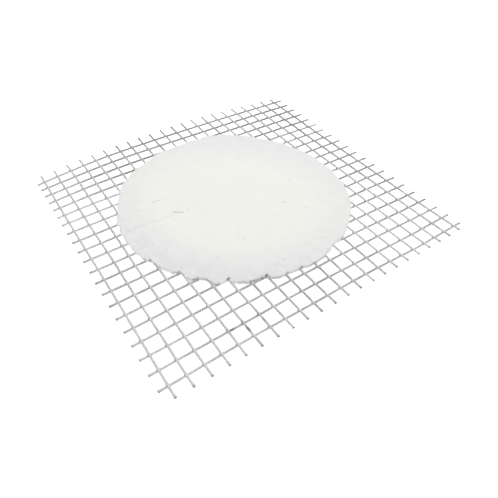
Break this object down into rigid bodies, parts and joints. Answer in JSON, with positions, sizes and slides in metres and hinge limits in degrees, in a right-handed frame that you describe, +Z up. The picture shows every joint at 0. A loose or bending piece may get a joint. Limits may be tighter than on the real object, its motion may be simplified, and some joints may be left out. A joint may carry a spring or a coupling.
{
  "type": "wire gauze",
  "caption": "Square of welded galvanised wire mesh with a round ceramic pad moulded through its middle, which carries a vessel over a burner and spreads the heat.",
  "frame": {"origin": "under the middle of the sheet's outline, level with its lowest point, the tip of the bent corner", "axes": "+X along the crosswise wires, +Y along the lengthwise wires towards the back, +Z up out of the face that carries the vessel"},
  "size_m": [0.1436, 0.1394, 0.0063],
  "materials": {
    "zinc_wire": "galvanised steel wire, dull zinc grey",
    "ceramic": "matt off-white fired ceramic, slightly chalky"
  },
  "bodies": {
    "root": {"lengthwise_wire_01": "zinc_wire", "lengthwise_wire_02": "zinc_wire", "lengthwise_wire_03": "zinc_wire", "lengthwise_wire_04": "zinc_wire", "lengthwise_wire_05": "zinc_wire", "lengthwise_wire_06": "zinc_wire", "lengthwise_wire_07": "zinc_wire", "lengthwise_wire_08": "zinc_wire", "lengthwise_wire_09": "zinc_wire", "lengthwise_wire_10": "zinc_wire", "lengthwise_wire_11": "zinc_wire", "lengthwise_wire_12": "zinc_wire", "lengthwise_wire_13": "zinc_wire", "lengthwise_wire_14": "zinc_wire", "lengthwise_wire_15": "zinc_wire", "lengthwise_wire_16": "zinc_wire", "lengthwise_wire_17": "zinc_wire", "lengthwise_wire_18": "zinc_wire", "lengthwise_wire_19": "zinc_wire", "lengthwise_wire_20": "zinc_wire", "lengthwise_wire_21": "zinc_wire", "lengthwise_wire_22": "zinc_wire", "crosswise_wire_01": "zinc_wire", "crosswise_wire_02": "zinc_wire", "crosswise_wire_03": "zinc_wire", "crosswise_wire_04": "zinc_wire", "crosswise_wire_05": "zinc_wire", "crosswise_wire_06": "zinc_wire", "crosswise_wire_07": "zinc_wire", "crosswise_wire_08": "zinc_wire", "crosswise_wire_09": "zinc_wire", "crosswise_wire_10": "zinc_wire", "crosswise_wire_11": "zinc_wire", "crosswise_wire_12": "zinc_wire", "crosswise_wire_13": "zinc_wire", "crosswise_wire_14": "zinc_wire", "crosswise_wire_15": "zinc_wire", "crosswise_wire_16": "zinc_wire", "crosswise_wire_17": "zinc_wire", "crosswise_wire_18": "zinc_wire", "crosswise_wire_19": "zinc_wire", "crosswise_wire_20": "zinc_wire", "crosswise_wire_21": "zinc_wire", "ceramic_centre": "ceramic"}
  },
  "joints": []
}
